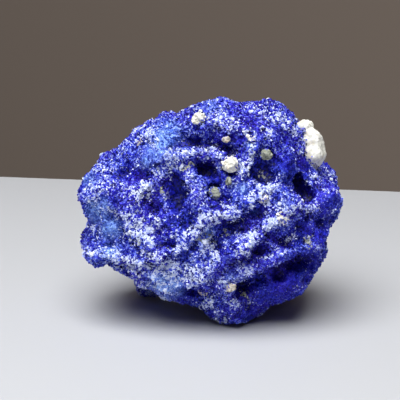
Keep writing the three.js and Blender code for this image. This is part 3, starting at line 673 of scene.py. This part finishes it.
stoneTree = makeStoneTree()
stonePieces = {}
for nodeName, stone in stones.items():
    words = nodeName.split("_")
    piece = copyNode(nodeName, words[0] + "".join(word.capitalize() for word in words[1:]))
    applyModifier(piece, "REMESH", mode="VOXEL", voxel_size=stone["voxel"] * mm)
    if "fuller" in stone:
        foot = min(vertex.co.z for vertex in piece.data.vertices) + stone["fuller"][0] * mm
        editOnly(piece, "VERT", lambda point: point.co.z < foot)
        bpy.ops.transform.resize(value=(stone["fuller"][1], stone["fuller"][1], 1.0),
                                 use_proportional_edit=True, proportional_size=stone["fuller"][2] * mm)
        bpy.ops.object.mode_set(mode="OBJECT")
    applyModifier(piece, "SMOOTH", factor=0.5, iterations=stone["rounding"])
    applyTree(piece, stoneTree, {"Lump Size": stone["lumps"][0] * mm, "Lump Height": stone["lumps"][1] * mm,
                                 "Grit Size": stone["grit"][0] * mm, "Grit Height": stone["grit"][1] * mm})
    bpy.ops.object.shade_smooth()
    stonePieces[nodeName] = piece
print("stones:", sum(len(piece.data.polygons) for piece in stonePieces.values()), "faces")

# blue crystals have grown a little way up the foot of each stone: thick at "full" from the crust, and none
# past "none"
overgrowth = {"count": 9.0, "size": (0.26, 0.5), "none": 1.3, "full": 0.3, "seed": 31}
bpy.ops.object.select_all(action="DESELECT")
for piece in stonePieces.values():
    piece.select_set(True)
bpy.ops.object.duplicate()
bpy.context.view_layer.objects.active = bpy.context.selected_objects[0]
bpy.ops.object.join()
allStones = bpy.context.object
crystalPieces.append(strew("azuriteOvergrowth", allStones, oneCrystal, overgrowth, crystals["tilt"],
                           azuriteCrust))
bpy.data.objects.remove(allStones)
bpy.data.objects.remove(oneCrystal)


druseLook = {
    "stops": [(0.10, "#01033c"), (0.31, "#080c80"), (0.50, "#181eb0"), (0.67, "#323ecc"), (0.86, "#6678de"),
              (0.99, "#a0b0ee")],
    "skyStops": [(0.1, "#234cc6"), (0.9, "#98bcf5")],
    "powder": "#d2dcf8", "clay": "#a2a698",
    "grainSize": 0.42, "cloudSize": 3.4, "mottleSize": 1.0,
    "violetSize": 9.0, "violetTurn": 0.006,  # how far the hue turns towards violet in broad patches
    "clumpSize": 0.5, "clumping": {"powder": 0.18, "clay": 0.4},  # how far the flecks keep together
    "shares": {"own": 0.84, "cloud": 0.20, "mottle": 0.08},
    # painted light on the crests and painted shade in the hollows, as shifts of the blue tone
    "paintedCrestLight": 0.09, "hollowDrop": 0.22,
    "bareShadeShare": 0.58, "bareShadeLevel": 0.30,  # bare ground is smoother, and painted shade turns it to one deep blue
    "roughness": (0.38, 0.68), "ior": 1.73, "specular": 0.12, "bump": 0.1,
    "skyBase": 0.45,  # how much of the sky blue shows where the mottle is least
    "strayOnBare": 0.8,  # how far bare ground is cleared of stray flecks
    "strayFlecks": 0.14,  # the share of the crystals that carry a fleck of powder anywhere
    "fleckEdge": 0.05,
}


def newMaterial(name):
    material = bpy.data.materials.new(name)
    material.use_nodes = True
    tree = material.node_tree
    tree.nodes.clear()
    return material, tree, addNode(tree, "ShaderNodeTexCoord").outputs["Object"]


def addSurface(tree, settings):
    shader = addNode(tree, "ShaderNodeBsdfPrincipled", settings)
    addNode(tree, "ShaderNodeOutputMaterial", {"Surface": shader})


# azurite druse: deep blue glassy crystals, each its own shade, flecked with white kaolin
def makeDruse(name, eachOwn):
    look = druseLook
    material, tree, place = newMaterial(name)
    cells = addNode(tree, "ShaderNodeTexVoronoi", {"Vector": place, "Scale": 1 / (look["grainSize"] * mm)})
    own = cells.outputs["Color"]
    if eachOwn:
        own = addNode(tree, "ShaderNodeAttribute", attribute_name="own").outputs["Vector"]
    own = addNode(tree, "ShaderNodeSeparateXYZ", {0: own}).outputs
    found = {kind: addNode(tree, "ShaderNodeAttribute", attribute_name=kind).outputs["Fac"]
             for kind in ("crest", "hollow", "bare", "sky", "clay", "dust")}
    parts = {"own": own[0]}
    for kind, detail in (("cloud", 2.0), ("mottle", 3.0), ("clump", 2.0)):
        noise = addNode(tree, "ShaderNodeTexNoise", {"Vector": place, "Scale": 1 / (look[kind + "Size"] * mm),
                                                     "Detail": detail})
        parts[kind] = addNode(tree, "ShaderNodeMapRange", {0: noise, 1: 0.3, 2: 0.7})
    clump = parts.pop("clump")
    numbers = {cover: addNode(tree, "ShaderNodeMix", {0: look["clumping"][cover], 2: own[channel],
                                                      3: clump})
               for cover, channel in (("powder", 1), ("clay", 2))}
    # painted light and shade: the tone is lifted where a spot stands proud and lowered where it dips
    level = addNode(tree, "ShaderNodeMapRange", {0: found["crest"], 1: -0.5, 2: 0.5, 3: -look["paintedCrestLight"],
                                                 4: look["paintedCrestLight"]})
    for kind, part in parts.items():
        level = addNode(tree, "ShaderNodeMath", {0: part, 1: look["shares"][kind], 2: level},
                        operation="MULTIPLY_ADD")
    # painted shade: the tone drops further the deeper a spot lies in a hollow
    deep = addNode(tree, "ShaderNodeMapRange", {0: found["hollow"], 1: 0.2, 2: -2.0})
    # painted shade: where the ground is bare, the tone is evened out towards one dark level
    bareShade = addNode(tree, "ShaderNodeMath", {0: found["bare"], 1: look["bareShadeShare"]}, operation="MULTIPLY",
                   use_clamp=True)
    level = addNode(tree, "ShaderNodeMix", {0: bareShade, 2: level, 3: look["bareShadeLevel"]})
    level = addNode(tree, "ShaderNodeMath", {0: deep, 1: -look["hollowDrop"], 2: level},
                    operation="MULTIPLY_ADD")
    blue, skyBlue = (addNode(tree, "ShaderNodeValToRGB", {0: level}, look[stops])
                     for stops in ("stops", "skyStops"))
    share = addNode(tree, "ShaderNodeMath", {0: parts["mottle"], 1: look["skyBase"]}, operation="ADD")
    share = addNode(tree, "ShaderNodeMath", {0: found["sky"], 1: share}, operation="MULTIPLY", use_clamp=True)
    colour = addNode(tree, "ShaderNodeMix", {0: share, 6: blue, 7: skyBlue}, data_type="RGBA").outputs[2]
    broad = addNode(tree, "ShaderNodeTexNoise", {"Vector": place, "Scale": 1 / (look["violetSize"] * mm)})
    hue = addNode(tree, "ShaderNodeMapRange", {0: broad, 1: 0.38, 2: 0.62, 3: 0.499,
                                               4: 0.5 + look["violetTurn"]})
    colour = addNode(tree, "ShaderNodeHueSaturation", {"Color": colour, "Hue": hue})
    # a crystal is covered where the cover passes the crystal's own number
    stray = addNode(tree, "ShaderNodeMath", {0: found["bare"], 1: -look["strayOnBare"], 2: 1.0},
                    operation="MULTIPLY_ADD", use_clamp=True)
    patchy = addNode(tree, "ShaderNodeMapRange", {0: parts["cloud"], 1: 0.3, 2: 0.85, 4: 1.6})
    stray = addNode(tree, "ShaderNodeMath", {0: stray, 1: patchy}, operation="MULTIPLY")
    flecks = addNode(tree, "ShaderNodeMath", {0: stray, 1: look["strayFlecks"], 2: found["dust"]},
                     operation="MULTIPLY_ADD")
    for cover, amount in (("clay", found["clay"]), ("powder", flecks)):
        over = addNode(tree, "ShaderNodeMath", {0: amount, 1: numbers[cover]}, operation="SUBTRACT")
        share = addNode(tree, "ShaderNodeMapRange", {0: over, 1: -look["fleckEdge"], 2: look["fleckEdge"]},
                        interpolation_type="SMOOTHSTEP")
        colour = addNode(tree, "ShaderNodeMix", {0: share, 6: colour, 7: srgbToLinear(look[cover])},
                         data_type="RGBA").outputs[2]
    smooth, dull = look["roughness"]
    rough = addNode(tree, "ShaderNodeMapRange", {0: own[2], 3: smooth, 4: dull})
    bump = addNode(tree, "ShaderNodeBump", {"Strength": 0.5, "Distance": look["bump"] * mm,
                                            "Height": cells.outputs["Distance"]})
    addSurface(tree, {"Base Color": colour, "Roughness": rough, "IOR": look["ior"],
                      "Specular IOR Level": look["specular"], "Normal": bump})
    return material


clayLooks = {
    "kaolin": {"pale": "#e2e9fb", "dull": "#c2cdf0", "stain": "#9cade6", "stainShare": 0.2, "size": 0.8},
    "white_clay": {"pale": "#e8e7e0", "dull": "#b2b2a6", "stain": "#cdc3ae", "stainShare": 0.12, "size": 1.1},
    "grey_clay": {"pale": "#989c91", "dull": "#64685f", "stain": "#82866f", "stainShare": 0.3, "size": 0.9},
    "tan_stone": {"pale": "#cdc7be", "dull": "#857e76", "stain": "#b29d8c", "stainShare": 0.3, "size": 0.8},
}
clayGrit = {"size": 0.25, "height": 0.08}


# dry clay and small sandstone grains: matt, chalky, a little stained
def makeClay(name, look):
    material, tree, place = newMaterial(name)
    cloud = addNode(tree, "ShaderNodeTexNoise", {"Vector": place, "Scale": 1 / (look["size"] * mm),
                                                 "Detail": 5.0})
    body = addNode(tree, "ShaderNodeValToRGB", {0: cloud}, [(0.32, look["dull"]), (0.55, look["pale"])])
    patch = addNode(tree, "ShaderNodeTexNoise", {"Vector": place, "Scale": 0.6 / (look["size"] * mm),
                                                 "Detail": 2.0, "W": 5.0}, noise_dimensions="4D")
    edge = 0.62 - look["stainShare"] * 0.4
    share = addNode(tree, "ShaderNodeMapRange", {0: patch, 1: edge, 2: edge + 0.1, 4: 0.7})
    colour = addNode(tree, "ShaderNodeMix", {0: share, 6: body, 7: srgbToLinear(look["stain"])},
                     data_type="RGBA").outputs[2]
    grit = addNode(tree, "ShaderNodeTexNoise", {"Vector": place, "Scale": 1 / (clayGrit["size"] * mm),
                                                "Detail": 3.0})
    bump = addNode(tree, "ShaderNodeBump", {"Strength": 0.5, "Distance": clayGrit["height"] * mm,
                                            "Height": grit})
    addSurface(tree, {"Base Color": colour, "Roughness": 0.9, "IOR": 1.5, "Normal": bump})
    return material


druse = makeDruse("azuriteDruse", False)
crystalDruse = makeDruse("azuriteCrystals", True)
clays = {slot: makeClay(slot.replace("_", " ").title().replace(" ", ""), look)
         for slot, look in clayLooks.items()}

azuriteCrust.data.materials.append(druse)
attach(azuriteCrust, "root")
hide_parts("azurite_mass")
for piece in crystalPieces:
    piece.data.materials.clear()
    piece.data.materials.append(crystalDruse)
    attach(piece, "root")
for piece in crumbPieces:
    piece.data.materials.clear()
    piece.data.materials.append(clays["kaolin"])
    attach(piece, "root")
for nodeName, piece in stonePieces.items():
    slot = stoneSlots[nodeName.split("_")[0]]
    piece.data.materials.append(clays[slot])
    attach(piece, "root")
    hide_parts(nodeName)
print("materials done")


studio = {
    "tableColour": "#b8babe", "wallColour": "#5c534c",
    "edgeLeft": (-70.0, 168.0), "edgeRight": (67.0, 141.5), "edgeRound": 5.0, "tableSize": 3000.0,
    "wallRadius": 900.0, "wallHeight": 4000.0,
    "keyPlace": (-90.0, -250.0, 600.0), "keySize": 640.0, "keyPower": 8.5,
    "skylightTurn": (24.0, -8.0, 0.0), "skylightSpread": 75.0, "skylightStrength": 0.7,
    "fillPlace": (-300.0, -420.0, 240.0), "fillSize": 500.0, "fillPower": 0.08,
    "world": "#cfd3da", "worldStrength": 0.004,
    # painted light: the taupe wall glows by itself, a little brighter at the right
    "wallGlow": (0.58, 0.82),
}


# glow is painted light: how brightly a surface shines by itself behind the stone, at the left and at the
# right, and it shines far less at the front
def makePlain(name, colour, roughness, glow=(0.0, 0.0)):
    material, tree, place = newMaterial(name)
    spot = addNode(tree, "ShaderNodeSeparateXYZ", {0: place}).outputs
    strength = addNode(tree, "ShaderNodeMapRange", {0: spot[0], 1: -0.2, 2: 0.2, 3: glow[0], 4: glow[1]})
    behind = addNode(tree, "ShaderNodeMapRange", {0: spot[1], 1: 0.2, 2: 0.7, 3: 0.15})
    strength = addNode(tree, "ShaderNodeMath", {0: strength, 1: behind}, operation="MULTIPLY")
    addSurface(tree, {"Base Color": srgbToLinear(colour), "Roughness": roughness,
                      "Emission Color": srgbToLinear(colour), "Emission Strength": strength})
    return material


left, right = Vector(studio["edgeLeft"]), Vector(studio["edgeRight"])
along = (right - left).normalized()
middle = (left + right) / 2
half = studio["tableSize"] / 2
centre = Vector((middle.x, middle.y)) + Vector((along.y, -along.x)) * half
bpy.ops.object.select_all(action="DESELECT")
bpy.ops.mesh.primitive_cube_add(size=1.0, location=(centre.x * mm, centre.y * mm, -0.02),
                                rotation=(0, 0, atan2(along.y, along.x)),
                                scale=(2 * half * mm, 2 * half * mm, 0.04))
table = bpy.context.object
table.name = "table"
bpy.ops.object.transform_apply(location=True, rotation=True, scale=True)
applyModifier(table, "BEVEL", width=studio["edgeRound"] * mm, segments=6)
bpy.ops.object.shade_smooth_by_angle(angle=radians(40))
table.data.materials.append(makePlain("whiteTable", studio["tableColour"], 0.6))
bpy.ops.object.select_all(action="DESELECT")
bpy.ops.mesh.primitive_cylinder_add(vertices=96, radius=studio["wallRadius"] * mm,
                                    depth=studio["wallHeight"] * mm, end_fill_type="NOTHING")
wall = bpy.context.object
bpy.ops.object.shade_smooth()
wall.name = "wall"
wall.data.materials.append(makePlain("taupeWall", studio["wallColour"], 0.9, studio["wallGlow"]))


def addLight(name, kind, power):
    light = addObject(name, bpy.data.lights.new(name, kind))
    light.data.energy = power
    return light


# a round panel that faces the stone
def addSoftLight(name, place, size, power):
    light = addLight(name, "AREA", power)
    light.data.shape = "DISK"
    light.data.size = size * mm
    light.location = Vector(place) * mm
    towards = Vector((0, 0, 0.02)) - light.location
    light.rotation_euler = towards.to_track_quat("-Z", "Y").to_euler()


skylight = addLight("skylight", "SUN", studio["skylightStrength"])
skylight.data.angle = radians(studio["skylightSpread"])
skylight.rotation_euler = [radians(turn) for turn in studio["skylightTurn"]]
addSoftLight("key", studio["keyPlace"], studio["keySize"], studio["keyPower"])
addSoftLight("fill", studio["fillPlace"], studio["fillSize"], studio["fillPower"])
world = bpy.data.worlds.new("paleRoom")
bpy.context.scene.world = world
world.use_nodes = True
world.node_tree.nodes["Background"].inputs[0].default_value = srgbToLinear(studio["world"])
world.node_tree.nodes["Background"].inputs[1].default_value = studio["worldStrength"]
bpy.context.scene.view_settings.view_transform = "Standard"

cameraObject = addObject("camera", bpy.data.cameras.new("camera"))
cameraObject.data.lens = camera["lens"]
cameraObject.data.clip_start = 0.01
cameraObject.location = Vector(camera["place"]) * mm
sight = Vector(camera["aim"]) - Vector(camera["place"])
cameraObject.rotation_euler = sight.to_track_quat("-Z", "Y").to_euler()
bpy.context.scene.camera = cameraObject
print("studio done")
